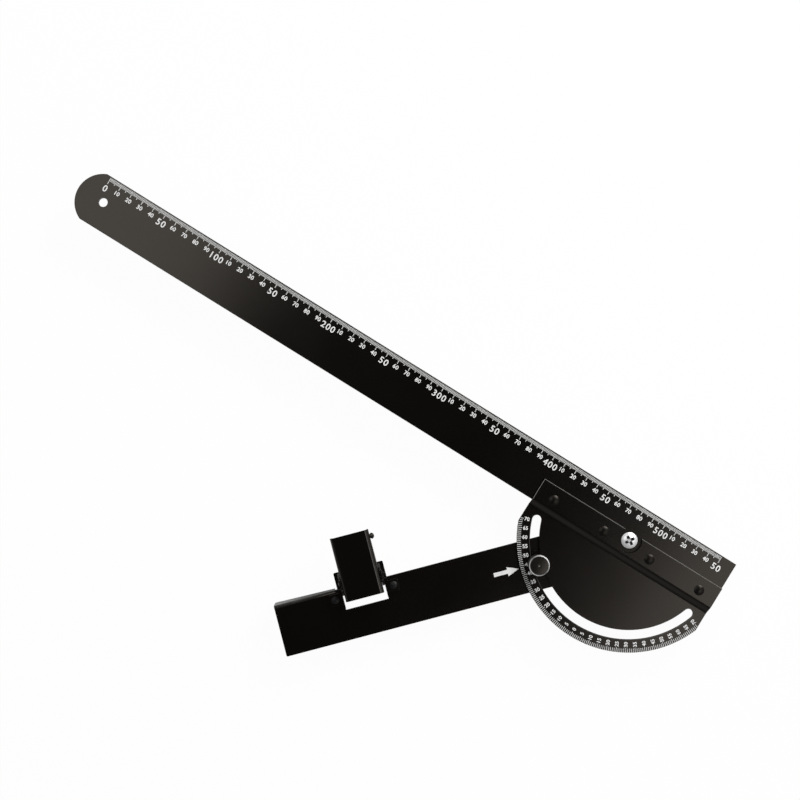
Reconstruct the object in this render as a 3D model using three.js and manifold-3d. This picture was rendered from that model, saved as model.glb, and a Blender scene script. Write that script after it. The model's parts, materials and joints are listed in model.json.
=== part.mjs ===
// Circular saw guide ruler: a rule with a swinging fence arm, a degree scale and a sprung hold-down lever.
// Millimetres. The origin is the scale's zero on the edge that guides the saw, at half the rule's thickness.
// +X runs along the scale, +Y points out of the guide edge and +Z is up, away from the board.
import * as THREE from "three";
import { mergeVertices } from "three/addons/utils/BufferGeometryUtils.js";
import Module from "manifold-3d";

const wasm = await Module();
wasm.setup();

// Fits and fineness that all pieces share
const seatGap = 0.3;
const runningGap = 0.05;
const shankClearance = 0.1;
const cutOverrun = 1;
const chordTolerance = 0.03;
const weldTolerance = 0.0002;

// Ruler blade
const rulerLength = 580;
const rulerWidth = 40;
const rulerThickness = 3;
const rulerEdgeBreak = 0.3;
const rulerEndRadius = 21.8;
const zeroFromEnd = 17.2;
const hangHoleDiameter = 7;

// Protractor plate
const plateThickness = 1.8;
const plateHalfWidth = 80.2;
const plateAbovePivot = 6.1;
const pivotFromGuideEdge = 27.5;
const pivotNotchRadius = 9.6;
const rimBeyondSides = 6.1;
const slotFromRim = 13.7;
const slotWidth = 7.2;
const slotSweepDegrees = 70.8;
const joggleInnerRadius = 1;
const joggleSlopeDegrees = 45;

// Rivets that hold the plate on the ruler
const plateRivetShank = 4;
const plateRivetHead = 8;
const plateRivetDome = 1.3;
const plateRivetFoot = 6;
const plateRivetSink = 1;
const plateRivetBelowPivot = 4.4;
const plateRivetFromSide = 14.7;
const plateRivetInner = 20.5;

// Pivot
const pivotShank = 6;
const pivotHeadDiameter = 12.5;
const pivotHeadSide = 1.2;
const pivotHeadDome = 2;
const bushDiameter = 9;
const frictionWasherDiameter = 24;
const frictionWasherThickness = 0.5;
const pivotWasherDiameter = 18;
const pivotWasherThickness = 1.2;
const nutAcrossFlats = 10;
const nutHeight = 5;
const nutCollarDiameter = 9;
const nutCollarHeight = 1.8;
const nutCollarWall = 0.6;
const screwBeyondNut = 1;

// Fence arm
const armLength = 276.3;
const armWidth = 40;
const armThickness = 2;
const armEdgeBreak = 0.2;
const armAngleDegrees = 43.63;
const armCornerRadius = 1;
const lipBendRadius = 2.5;
const lipDepthAtEnd = 20.5;
const lipDepthAtLever = 11.5;
const lipFromLever = 21.5;
const leverFromArmEnd = 69.8;
const notchWidth = 33.4;
const notchDepth = 16.7;
const notchCornerRadius = 1.2;

// Lock knob on its stud
const studDiameter = 6;
const studChamfer = 0.5;
const studHeadDiameter = 11;
const studHeadHeight = 1.5;
const lockWasherDiameter = 14;
const lockWasherThickness = 1.2;
const knobDiameter = 15.8;
const knobHeight = 11;
const knobDome = 0.6;
const knobTopChamfer = 0.8;
const knobFootChamfer = 0.6;
const knobNeckDepth = 0.7;
const knobNeckHeight = 1.2;
const knobNeckAbove = 1.8;
const knobBoreDepth = 9.2;

// Bracket of the hold-down lever
const bracketThickness = 1.5;
const bracketWidth = 39;
const bracketReach = 12.9;
const bracketInside = 5.5;
const bracketWebLength = 4.5;
const bracketCornerRadius = 1;
const wingSpan = 54;
const wingSetback = 2.8;
const wingDepth = 12;
const earRadius = 4;
const earShoulder = 2;
const earCornerRadius = 2.5;
const bracketRivetSpan = 46;
const bracketRivetInside = 7.4;
const bracketRivetShank = 3.2;
const bracketRivetHead = 6;
const bracketRivetDome = 1.1;
const bracketRivetUnder = 0.6;

// Hold-down lever
const leverWidth = 29;
const leverReach = 39.5;
const leverTail = 10;
const leverThickness = 1.5;
const leverTop = 9.4;
const leverCornerRadius = 2.5;
const leverSidePlay = 0.6;
const leverToeLift = 2.6;
const leverFootRadius = 6;
const leverTailDepth = 3.9;
const leverSeatStart = 0.5;
const hingeOut = 3.7;
const hingeHeight = 4.2;
const hingePinDiameter = 3;
const hingePinHead = 5;
const hingePinHeadHeight = 1.2;
const hingePinTail = 1.8;
const clipDiameter = 6.4;
const clipThickness = 0.7;
const clipGroove = 0.35;
const clipMouth = 2;

// Torsion spring on the hinge pin
const springWire = 1.1;
const springMeanRadius = 2.7;
const springPitch = 1.75;
const springTailInset = 2.5;
const springWholeCurls = 6;

// Swivelling toe
const toePinDiameter = 3;
const toePinFromEnd = 5.7;
const toePinHeight = 5.2;
const toePinHead = 5;
const toePinHeadHeight = 3.2;
const toeWidth = 17;
const toeLength = 6.6;
const toeSoleThickness = 1.5;
const toeTopRadius = 2.4;
const toeCornerRadius = 0.5;

// Counts
const domeSteps = 5;
const nutSides = 6;
const wireSides = 5;
const wireStepsPerCurl = 8;
const gapSamplesPerCurl = 36;

// Heights and places worked out from the sizes
const degree = Math.PI / 180;
const fullTurn = 2 * Math.PI;
const quarterTurn = Math.PI / 2;
const axisX = new THREE.Vector3(1, 0, 0);
const axisY = new THREE.Vector3(0, 1, 0);
const axisZ = new THREE.Vector3(0, 0, 1);
const rulerTop = rulerThickness / 2;
const rulerUnder = -rulerThickness / 2;
const rulerEnd = rulerLength - zeroFromEnd;
const hangHoleX = rulerEndRadius - zeroFromEnd;
const pivotX = rulerEnd - plateHalfWidth;
const pivotY = -pivotFromGuideEdge;
const rimRadius = plateHalfWidth + rimBeyondSides;
const slotRadius = rimRadius - slotFromRim;
const discTop = rulerUnder + plateThickness;
const stripTop = rulerTop + plateThickness;
const armTop = rulerUnder - frictionWasherThickness;
const armUnder = armTop - armThickness;
const fenceFace = -armWidth / 2;
const bushEnd = armUnder - runningGap;
const pivotWasherUnder = bushEnd - pivotWasherThickness;
const nutUnder = pivotWasherUnder - nutHeight;
const nutCollarEnd = nutUnder - nutCollarHeight;
const screwEnd = nutCollarEnd - screwBeyondNut;
const lockWasherFoot = discTop + runningGap;
const knobFoot = lockWasherFoot + lockWasherThickness + runningGap;
const studEnd = knobFoot + knobBoreDepth - seatGap;
const leverFromPivot = armLength - leverFromArmEnd;
const webTop = rulerUnder + bracketThickness;
const wingTop = armTop + bracketThickness;
const webEdge = bracketReach - bracketWebLength;
const earInner = leverWidth / 2 + leverSidePlay;
const earOuter = earInner + bracketThickness;
const leverFoot = webTop + seatGap;
const toePinOut = leverReach - toePinFromEnd;
const plateRivetOuter = plateHalfWidth - plateRivetFromSide;
const plateRivetY = pivotY - plateRivetBelowPivot;
const plateRivetXs = [-plateRivetOuter, -plateRivetInner, plateRivetInner, plateRivetOuter].map(
  (offset) => pivotX + offset,
);
const bracketRivetXs = [-bracketRivetSpan / 2, bracketRivetSpan / 2];

// The steps that a turn of a given radius takes, so that its chords stay true to the curve.
function stepsFor(radius, angle) {
  const widest = 2 * Math.acos(Math.max(0, 1 - chordTolerance / radius));
  return Math.max(2, Math.ceil(Math.abs(angle) / widest));
}

// Points along an arc; it runs clockwise where the second angle is the smaller one.
function arc(x, y, radius, from, to) {
  const curve = new THREE.EllipseCurve(x, y, radius, radius, from, to, to < from);
  return curve.getPoints(stepsFor(radius, to - from));
}

function circle(x, y, diameter) {
  return outline(arc(x, y, diameter / 2, 0, fullTurn));
}

// The hole for a shank: its diameter and the clearance all round.
function clearHole(x, y, shank) {
  return circle(x, y, shank + 2 * shankClearance);
}

// A closed outline through corners, each [x, y], and runs of points along arcs.
function outline(...runs) {
  const points = runs.flatMap((run) => (run[0].isVector2 ? run : [new THREE.Vector2(...run)]));
  const distinct = points.filter((point, index) => {
    const before = points[(index + points.length - 1) % points.length];
    return point.distanceTo(before) > weldTolerance;
  });
  return new THREE.Shape(distinct);
}

// A closed outline through corners, each [x, y, radius], rounded where a radius is given.
function roundedOutline(corners) {
  const points = corners.map(([x, y]) => new THREE.Vector2(x, y));
  const runs = corners.map(([x, y, radius = 0], index) => {
    if (radius === 0) return [x, y];
    const corner = points[index];
    const back = points.at(index - 1).clone().sub(corner).normalize();
    const ahead = points[(index + 1) % points.length].clone().sub(corner).normalize();
    const halfAngle = Math.acos(THREE.MathUtils.clamp(back.dot(ahead), -1, 1)) / 2;
    const middle = back.clone().add(ahead).normalize();
    const centre = corner.clone().addScaledVector(middle, radius / Math.sin(halfAngle));
    const trim = radius / Math.tan(halfAngle);
    const start = corner.clone().addScaledVector(back, trim).sub(centre).angle();
    const turn = Math.PI - 2 * halfAngle;
    const end = back.cross(ahead) > 0 ? start - turn : start + turn;
    return arc(centre.x, centre.y, radius, start, end);
  });
  return outline(...runs);
}

// Turns a closed geometry into a solid that can be cut and joined.
function solidOf(geometry) {
  const bare = geometry.clone();
  bare.deleteAttribute("normal");
  bare.deleteAttribute("uv");
  const merged = mergeVertices(bare, weldTolerance);
  const mesh = new wasm.Mesh({
    numProp: 3,
    vertProperties: merged.attributes.position.array,
    triVerts: new Uint32Array(merged.index.array),
  });
  return new wasm.Manifold(mesh);
}

// Turns a solid back into a geometry with flat faces.
function geometryOf(solid) {
  const mesh = solid.getMesh();
  const geometry = new THREE.BufferGeometry();
  geometry.setAttribute("position", new THREE.BufferAttribute(mesh.vertProperties, 3));
  geometry.setIndex(new THREE.BufferAttribute(mesh.triVerts, 1));
  const flat = geometry.toNonIndexed();
  flat.computeVertexNormals();
  return flat;
}

function cut(body, ...tools) {
  return geometryOf(tools.reduce((left, tool) => left.subtract(solidOf(tool)), solidOf(body)));
}

function join(body, ...others) {
  return geometryOf(others.reduce((sum, other) => sum.add(solidOf(other)), solidOf(body)));
}

function common(first, second) {
  return geometryOf(solidOf(first).intersect(solidOf(second)));
}

// Extrudes an outline straight up between two heights, with its edges broken where asked.
function slab(shape, low, high, edgeBreak = 0) {
  const geometry = new THREE.ExtrudeGeometry(shape, {
    depth: high - low - 2 * edgeBreak,
    bevelEnabled: edgeBreak > 0,
    bevelSegments: 1,
    bevelSize: edgeBreak,
    bevelThickness: edgeBreak,
    bevelOffset: -edgeBreak,
  });
  return geometry.translate(0, 0, low + edgeBreak);
}

// Extrudes a section, drawn along two axes, from one place to another along the axis square to both.
function sweep(section, across, up, from, to) {
  const along = new THREE.Vector3().crossVectors(across, up);
  const geometry = new THREE.ExtrudeGeometry(section, { depth: to - from, bevelEnabled: false });
  const frame = new THREE.Matrix4().makeBasis(across, up, along);
  frame.setPosition(along.clone().multiplyScalar(from));
  return geometry.applyMatrix4(frame);
}

// Revolves a profile of [radius, height] points about +Z.
function turned(profile) {
  const points = profile.map(([radius, height]) => new THREE.Vector2(radius, height));
  const widest = Math.max(...profile.map(([radius]) => radius));
  return new THREE.LatheGeometry(points, stepsFor(widest, fullTurn)).rotateX(quarterTurn);
}

// The profile of a dome, from its foot out at a radius to its crown on the axis.
function dome(footRadius, footHeight, rise) {
  const sphere = (footRadius * footRadius + rise * rise) / (2 * rise);
  const reach = Math.asin(Math.min(1, footRadius / sphere));
  return Array.from({ length: domeSteps + 1 }, (_, step) => {
    const angle = reach * (1 - step / domeSteps);
    return [sphere * Math.sin(angle), footHeight + rise - sphere * (1 - Math.cos(angle))];
  });
}

// A flat ring round a shank.
function washer(diameter, shank, low, high) {
  const blank = slab(circle(0, 0, diameter), low, high);
  return cut(blank, slab(clearHole(0, 0, shank), low - cutOverrun, high + cutOverrun));
}

// Ruler blade: one end rounded about the hanging hole, the other square.
function rulerBlade() {
  const middle = -rulerWidth / 2;
  const meeting = Math.asin(Math.min(1, -middle / rulerEndRadius));
  const edge = outline(
    [rulerEnd, 0],
    arc(hangHoleX, middle, rulerEndRadius, Math.PI - meeting, Math.PI + meeting),
    [rulerEnd, -rulerWidth],
  );
  const holes = [circle(hangHoleX, middle, hangHoleDiameter), clearHole(pivotX, pivotY, bushDiameter)];
  return cut(
    slab(edge, rulerUnder, rulerTop, rulerEdgeBreak),
    ...holes.map((hole) => slab(hole, rulerUnder - cutOverrun, rulerTop + cutOverrun)),
    ...plateRivetXs.map((x) => rivetSeat().translate(x, plateRivetY, 0)),
  );
}

// The countersunk hole that a plate rivet fills in the ruler.
function rivetSeat() {
  const shank = plateRivetShank / 2 + shankClearance;
  const foot = plateRivetFoot / 2 + shankClearance;
  return turned([
    [0, rulerUnder - cutOverrun],
    [foot, rulerUnder - cutOverrun],
    [foot, rulerUnder],
    [shank, rulerUnder + plateRivetSink],
    [shank, rulerTop + cutOverrun],
    [0, rulerTop + cutOverrun],
  ]);
}

// Plate rivet: domed head on the strip, shank, and a foot set flush with the ruler's underside.
function plateRivet() {
  return turned([
    [0, rulerUnder],
    [plateRivetFoot / 2, rulerUnder],
    [plateRivetShank / 2, rulerUnder + plateRivetSink],
    [plateRivetShank / 2, stripTop],
    ...dome(plateRivetHead / 2, stripTop, plateRivetDome),
  ]);
}

// Protractor plate: a strip on the ruler that steps down beside it into the half disc.
function protractorPlate() {
  const away = axisY.clone().negate();
  const sheet = sweep(joggledSection(), away, axisZ, -plateHalfWidth, plateHalfWidth);
  const low = rulerUnder - cutOverrun;
  const high = stripTop + cutOverrun;
  const plan = slab(protractorOutline(), low, high);
  const notch = slab(circle(0, 0, 2 * pivotNotchRadius), low, high);
  const rivetHoles = plateRivetXs.map((x) => {
    return slab(clearHole(x - pivotX, -plateRivetBelowPivot, plateRivetShank), low, high);
  });
  return cut(common(sheet, plan), slab(slotOutline(), low, high), notch, ...rivetHoles);
}

// The plate's section about the pivot, measured away from the guide edge: strip, two bends and disc.
function joggledSection() {
  const slope = joggleSlopeDegrees * degree;
  const inner = joggleInnerRadius;
  const outer = joggleInnerRadius + plateThickness;
  const straightDrop = rulerThickness - (inner + outer) * (1 - Math.cos(slope));
  const bendsReach = (inner + outer) * Math.sin(slope);
  const first = rulerWidth - pivotFromGuideEdge + seatGap;
  const second = first + bendsReach + straightDrop / Math.tan(slope);
  const far = rimRadius + cutOverrun;
  return outline(
    [-plateAbovePivot, rulerTop],
    arc(first, rulerTop - inner, inner, quarterTurn, quarterTurn - slope),
    arc(second, discTop + inner, outer, -quarterTurn - slope, -quarterTurn),
    [far, rulerUnder],
    [far, discTop],
    arc(second, discTop + inner, inner, -quarterTurn, -quarterTurn - slope),
    arc(first, rulerTop - inner, outer, quarterTurn - slope, quarterTurn),
    [-plateAbovePivot, stripTop],
  );
}

// The plate seen from above, about the pivot: strip, straight sides and round rim.
function protractorOutline() {
  const meeting = Math.asin(Math.min(1, plateHalfWidth / rimRadius));
  return outline(
    [-plateHalfWidth, plateAbovePivot],
    arc(0, 0, rimRadius, -quarterTurn - meeting, meeting - quarterTurn),
    [plateHalfWidth, plateAbovePivot],
  );
}

// The curved slot, with round ends.
function slotOutline() {
  const half = slotWidth / 2;
  const from = -quarterTurn - slotSweepDegrees * degree;
  const to = -quarterTurn + slotSweepDegrees * degree;
  return outline(
    arc(0, 0, slotRadius + half, from, to),
    arc(slotRadius * Math.cos(to), slotRadius * Math.sin(to), half, to, to + Math.PI),
    arc(0, 0, slotRadius - half, to, from),
    arc(slotRadius * Math.cos(from), slotRadius * Math.sin(from), half, from - Math.PI, from),
  );
}

// Pivot screw: low domed head on the ruler and a plain shank down past the nut.
function pivotScrew() {
  return turned([
    [0, screwEnd],
    [pivotShank / 2, screwEnd],
    [pivotShank / 2, rulerTop],
    [pivotHeadDiameter / 2, rulerTop],
    ...dome(pivotHeadDiameter / 2, rulerTop + pivotHeadSide, pivotHeadDome),
  ]);
}

// Lock nut: hexagon with turned-off corners and a round collar that holds the nylon ring.
function pivotNut() {
  const flat = nutAcrossFlats / 2;
  const corner = flat / Math.cos(Math.PI / nutSides);
  const corners = Array.from({ length: nutSides }, (_, side) => {
    const angle = (side * fullTurn) / nutSides;
    return [corner * Math.cos(angle), corner * Math.sin(angle)];
  });
  const chamfer = corner - flat;
  const barrel = turned([
    [0, nutUnder],
    [flat, nutUnder],
    [corner, nutUnder + chamfer],
    [corner, pivotWasherUnder - chamfer],
    [flat, pivotWasherUnder],
    [0, pivotWasherUnder],
  ]);
  const hexagon = common(slab(outline(...corners), nutUnder, pivotWasherUnder), barrel);
  const collar = slab(circle(0, 0, nutCollarDiameter), nutCollarEnd, nutUnder);
  const below = nutCollarEnd - cutOverrun;
  const bore = slab(clearHole(0, 0, pivotShank), below, pivotWasherUnder + cutOverrun);
  const recess = slab(circle(0, 0, nutRingDiameter() + 2 * shankClearance), below, nutUnder);
  return cut(join(hexagon, collar), bore, recess);
}

function nutRingDiameter() {
  return nutCollarDiameter - 2 * nutCollarWall - 2 * shankClearance;
}

// Fence arm: a flat bar, round at the pivot, with the lever's notch and the fence lip turned down.
function fenceArm() {
  const side = armWidth / 2;
  const notchFloor = fenceFace + notchDepth;
  const notchNear = leverFromPivot - notchWidth / 2;
  const notchFar = leverFromPivot + notchWidth / 2;
  const lipStart = leverFromPivot + lipFromLever;
  const farEnd = armLength - armCornerRadius;
  const nearCorner = notchNear + notchCornerRadius;
  const farCorner = notchFar - notchCornerRadius;
  const cornerLevel = notchFloor - notchCornerRadius;
  const edge = outline(
    [notchNear, fenceFace],
    arc(nearCorner, cornerLevel, notchCornerRadius, Math.PI, quarterTurn),
    arc(farCorner, cornerLevel, notchCornerRadius, quarterTurn, 0),
    [notchFar, fenceFace],
    arc(farEnd, armCornerRadius - side, armCornerRadius, -quarterTurn, 0),
    arc(farEnd, side - armCornerRadius, armCornerRadius, 0, quarterTurn),
    arc(0, 0, side, quarterTurn, quarterTurn + Math.PI),
  );
  const bracketRivetLine = fenceFace + bracketRivetInside;
  const holes = [
    clearHole(0, 0, bushDiameter),
    clearHole(slotRadius, 0, studDiameter),
    ...bracketRivetXs.map((x) => clearHole(leverFromPivot + x, bracketRivetLine, bracketRivetShank)),
  ];
  const bar = cut(
    slab(edge, armUnder, armTop, armEdgeBreak),
    ...holes.map((hole) => slab(hole, armUnder - cutOverrun, armTop + cutOverrun)),
    sweep(bendCorner(), axisY, axisZ, lipStart, armLength + cutOverrun),
  );
  return join(bar, fenceLip(lipStart));
}

// The bar's square corner, taken away where the lip turns down.
function bendCorner() {
  const reach = lipBendRadius + armThickness;
  return outline(
    [fenceFace - cutOverrun, armTop + cutOverrun],
    [fenceFace - cutOverrun, armTop - reach],
    [fenceFace + lipBendRadius, armTop - reach],
    [fenceFace + lipBendRadius, armTop + cutOverrun],
  );
}

// The fence lip: bent down from the bar's board side, deepest at the arm's end.
function fenceLip(lipStart) {
  const innerRadius = lipBendRadius - armThickness;
  const bendOut = fenceFace + lipBendRadius;
  const bendLevel = armTop - lipBendRadius;
  const lipFoot = armTop - lipDepthAtEnd;
  const section = outline(
    arc(bendOut, bendLevel, lipBendRadius, quarterTurn, Math.PI),
    [fenceFace, lipFoot],
    [fenceFace + armThickness, lipFoot],
    arc(bendOut, bendLevel, innerRadius, Math.PI, quarterTurn),
  );
  const side = roundedOutline([
    [lipStart, armTop],
    [lipStart, armTop - lipDepthAtLever, armCornerRadius],
    [armLength, lipFoot, armCornerRadius],
    [armLength, armTop],
  ]);
  const strip = sweep(section, axisY, axisZ, lipStart, armLength);
  return common(strip, sweep(side, axisX, axisZ, -bendOut, cutOverrun - fenceFace));
}

// Lock stud: a flat head clinched under the arm and a plain shank up through the slot.
function lockStud() {
  return turned([
    [0, armUnder - studHeadHeight],
    [studHeadDiameter / 2, armUnder - studHeadHeight],
    [studHeadDiameter / 2, armUnder],
    [studDiameter / 2, armUnder],
    [studDiameter / 2, studEnd - studChamfer],
    [studDiameter / 2 - studChamfer, studEnd],
    [0, studEnd],
  ]);
}

// Lock knob: a turned thumb nut with a waist, a chamfered low crown and a blind bore.
function lockKnob() {
  const radius = knobDiameter / 2;
  const bore = studDiameter / 2 + shankClearance;
  const crownFoot = knobFoot + knobHeight - knobDome;
  const neckFoot = knobFoot + knobNeckAbove;
  const neckTop = neckFoot + knobNeckHeight;
  const neckSlant = knobNeckHeight / 4;
  return turned([
    [0, knobFoot + knobBoreDepth],
    [bore, knobFoot + knobBoreDepth],
    [bore, knobFoot],
    [radius - knobFootChamfer, knobFoot],
    [radius, knobFoot + knobFootChamfer],
    [radius, neckFoot],
    [radius - knobNeckDepth, neckFoot + neckSlant],
    [radius - knobNeckDepth, neckTop - neckSlant],
    [radius, neckTop],
    [radius, crownFoot - knobTopChamfer],
    ...dome(radius - knobTopChamfer, crownFoot, knobDome),
  ]);
}

// The hold-down's own frame: +Y out over the board from the fence's face, +X back towards the pivot.
// Lever bracket: two wings on the arm, a web out over the board, and two ears bent up.
function leverBracket() {
  const rise = rulerUnder - armTop;
  const step = outline(
    [-wingDepth, armTop],
    [-rise, armTop],
    [0, rulerUnder],
    [bracketReach, rulerUnder],
    [bracketReach, webTop],
    [0, webTop],
    [-rise, wingTop],
    [-wingDepth, wingTop],
  );
  const wide = wingSpan / 2;
  const mouth = notchWidth / 2 + seatGap;
  const right = [
    [bracketWidth / 2, bracketReach, bracketCornerRadius],
    [bracketWidth / 2, -wingSetback],
    [wide, -wingSetback, bracketCornerRadius],
    [wide, -wingDepth, bracketCornerRadius],
    [mouth, -wingDepth, bracketCornerRadius],
    [mouth, -bracketInside],
    [earInner, -bracketInside],
    [earInner, webEdge],
  ];
  const left = right.map(([x, y, radius]) => [-x, y, radius]).reverse();
  const plan = slab(roundedOutline([...right, ...left]), armTop - cutOverrun, webTop + cutOverrun);
  const sheet = common(sweep(step, axisY, axisZ, -wide, wide), plan);
  const ears = [-earOuter, earInner].map((x) => {
    return sweep(earOutline(rise), axisY, axisZ, x, x + bracketThickness);
  });
  const rivetHoles = bracketRivetXs.map((x) => {
    const hole = clearHole(x, -bracketRivetInside, bracketRivetShank);
    return slab(hole, armTop - cutOverrun, webTop + cutOverrun);
  });
  const pinHole = clearHole(hingeOut, hingeHeight, hingePinDiameter);
  const reamer = sweep(pinHole, axisY, axisZ, -earOuter - cutOverrun, earOuter + cutOverrun);
  return cut(join(sheet, ...ears), reamer, ...rivetHoles);
}

// An ear seen from the side: low along the web and raised round the hinge pin.
function earOutline(rise) {
  const shoulder = webTop + earShoulder;
  const crown = hingeHeight + earRadius;
  const front = bracketReach - bracketCornerRadius;
  return roundedOutline([
    [-bracketInside, armTop],
    [-rise, armTop],
    [0, rulerUnder],
    [front, rulerUnder],
    [front, shoulder],
    [hingeOut + earRadius, crown, earCornerRadius],
    [hingeOut - earRadius, crown, earCornerRadius],
    [-bracketInside, shoulder],
  ]);
}

// Bracket rivet: domed head on the wing, shank through the arm, low head under it.
function bracketRivet() {
  const under = dome(bracketRivetHead / 2, -armUnder, bracketRivetUnder).reverse();
  return turned([
    ...under.map(([radius, depth]) => [radius, -depth]),
    [bracketRivetShank / 2, armUnder],
    [bracketRivetShank / 2, wingTop],
    ...dome(bracketRivetHead / 2, wingTop, bracketRivetDome),
  ]);
}

// Hold-down lever: a pressed channel, cut away towards the toe and under the tail.
function holdDownLever() {
  const wide = leverWidth / 2;
  const inside = wide - leverThickness;
  const innerRadius = leverCornerRadius - leverThickness;
  const bottom = leverFoot - cutOverrun;
  const channel = roundedOutline([
    [-wide, bottom],
    [-inside, bottom],
    [-inside, leverTop - leverThickness, innerRadius],
    [inside, leverTop - leverThickness, innerRadius],
    [inside, bottom],
    [wide, bottom],
    [wide, leverTop, leverCornerRadius],
    [-wide, leverTop, leverCornerRadius],
  ]);
  const flank = roundedOutline([
    [leverSeatStart, leverFoot],
    [bracketReach, leverFoot, leverFootRadius],
    [leverReach, leverFoot + leverToeLift, leverThickness],
    [leverReach, leverTop + cutOverrun],
    [-leverTail, leverTop + cutOverrun],
    [-leverTail, leverTop - leverTailDepth, leverThickness],
  ]);
  const pressed = sweep(channel, axisX, axisZ, -leverReach, leverTail);
  const blank = common(pressed, sweep(flank, axisY, axisZ, -wide - cutOverrun, wide + cutOverrun));
  const pinHoles = [
    clearHole(hingeOut, hingeHeight, hingePinDiameter),
    clearHole(toePinOut, toePinHeight, toePinDiameter),
  ];
  const reamers = pinHoles.map((hole) => sweep(hole, axisY, axisZ, -wide - cutOverrun, wide + cutOverrun));
  return cut(blank, ...reamers);
}

// The profile of a pin with a domed head, from the head's crown to where the plain shank starts.
function pinHead(shankDiameter, headDiameter, headHeight, seat) {
  const crown = dome(headDiameter / 2, -seat, headHeight).reverse();
  return [...crown.map(([radius, depth]) => [radius, -depth]), [shankDiameter / 2, seat]];
}

// Hinge pin, laid along +X: its head outside one ear, its grooved tail outside the other.
function hingePin() {
  const radius = hingePinDiameter / 2;
  const grooveStart = earOuter + seatGap - shankClearance;
  const grooveEnd = grooveStart + clipThickness + 2 * shankClearance;
  const profile = [
    ...pinHead(hingePinDiameter, hingePinHead, hingePinHeadHeight, -earOuter),
    [radius, grooveStart],
    [radius - clipGroove, grooveStart],
    [radius - clipGroove, grooveEnd],
    [radius, grooveEnd],
    [radius, earOuter + hingePinTail],
    [0, earOuter + hingePinTail],
  ];
  return turned(profile).rotateY(quarterTurn).translate(0, hingeOut, hingeHeight);
}

// Retaining clip: a flat ring with an open mouth, snapped into the hinge pin's groove.
function hingeClip() {
  const from = earOuter + seatGap;
  const to = from + clipThickness;
  const bore = circle(hingeOut, hingeHeight, hingePinDiameter - 2 * clipGroove + 2 * shankClearance);
  const mouth = outline(
    [hingeOut - clipMouth / 2, hingeHeight],
    [hingeOut + clipMouth / 2, hingeHeight],
    [hingeOut + clipMouth / 2, hingeHeight + clipDiameter],
    [hingeOut - clipMouth / 2, hingeHeight + clipDiameter],
  );
  return cut(
    sweep(circle(hingeOut, hingeHeight, clipDiameter), axisY, axisZ, from, to),
    sweep(bore, axisY, axisZ, from - cutOverrun, to + cutOverrun),
    sweep(mouth, axisY, axisZ, from - cutOverrun, to + cutOverrun),
  );
}

// The wire of the torsion spring: a leg under the lever's tail, curls round the pin, a leg behind the web.
class SpringWire extends THREE.Curve {
  constructor() {
    super();
    const tailLeg = new THREE.Vector2(
      springTailInset - leverTail - hingeOut,
      leverTop - leverThickness - seatGap - springWire / 2 - hingeHeight,
    );
    const webLeg = new THREE.Vector2(
      webEdge - seatGap - springWire / 2 - hingeOut,
      (rulerUnder + webTop) / 2 - hingeHeight,
    );
    const partTurn = (leg) => Math.acos(Math.min(1, springMeanRadius / leg.length()));
    this.startAngle = tailLeg.angle() - partTurn(tailLeg);
    const endAngle = webLeg.angle() + partTurn(webLeg) - fullTurn;
    this.turn = this.startAngle - endAngle + fullTurn * (springWholeCurls - 1);
    this.half = (springPitch * this.turn) / fullTurn / 2;
    this.tailEnd = new THREE.Vector3(-this.half, tailLeg.x, tailLeg.y);
    this.webEnd = new THREE.Vector3(this.half, webLeg.x, webLeg.y);
    this.tailLength = this.tailEnd.distanceTo(this.curlPoint(0));
    this.webLength = this.webEnd.distanceTo(this.curlPoint(1));
    this.curlsLength = Math.hypot(this.turn * springMeanRadius, 2 * this.half);
    this.length = this.tailLength + this.curlsLength + this.webLength;
    this.perCurl = (this.curlsLength * fullTurn) / this.turn;
  }

  // A point of the curls, from 0 at the tail's leg to 1 at the web's leg.
  curlPoint(share) {
    const angle = this.startAngle - this.turn * share;
    const along = this.half * (2 * share - 1);
    return new THREE.Vector3(along, springMeanRadius * Math.cos(angle), springMeanRadius * Math.sin(angle));
  }

  getPoint(share, target = new THREE.Vector3()) {
    const run = share * this.length - this.tailLength;
    if (run < 0) return target.lerpVectors(this.curlPoint(0), this.tailEnd, -run / this.tailLength);
    if (run <= this.curlsLength) return target.copy(this.curlPoint(run / this.curlsLength));
    const rest = (run - this.curlsLength) / this.webLength;
    return target.lerpVectors(this.curlPoint(1), this.webEnd, rest);
  }

  // The least gap between two stretches of the wire that are more than half a curl apart.
  leastGap() {
    const count = Math.ceil((this.length / this.perCurl) * gapSamplesPerCurl);
    const points = Array.from({ length: count + 1 }, (_, index) => this.getPoint(index / count));
    const apart = gapSamplesPerCurl / 2;
    const gaps = points.flatMap((point, index) => {
      return points.slice(index + apart).map((next) => next.distanceTo(point));
    });
    return Math.min(...gaps) - springWire;
  }
}

function leverSpring() {
  const wire = new SpringWire();
  console.log("lever_spring: least gap to itself " + wire.leastGap().toFixed(2) + " mm");
  const corners = Array.from({ length: wireSides }, (_, side) => {
    const angle = (side * fullTurn) / wireSides;
    return [(springWire / 2) * Math.cos(angle), (springWire / 2) * Math.sin(angle)];
  });
  const steps = Math.round((wire.length / wire.perCurl) * wireStepsPerCurl);
  const coil = new THREE.ExtrudeGeometry(outline(...corners), { steps, extrudePath: wire });
  return coil.translate(0, hingeOut, hingeHeight);
}

// Toe pin, laid along -X: its tall head outside the lever's pivot side, its end flush with the other.
function toePin() {
  const profile = [
    ...pinHead(toePinDiameter, toePinHead, toePinHeadHeight, -leverWidth / 2),
    [toePinDiameter / 2, leverWidth / 2],
    [0, leverWidth / 2],
  ];
  return turned(profile).rotateY(-quarterTurn).translate(0, toePinOut, toePinHeight);
}

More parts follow.
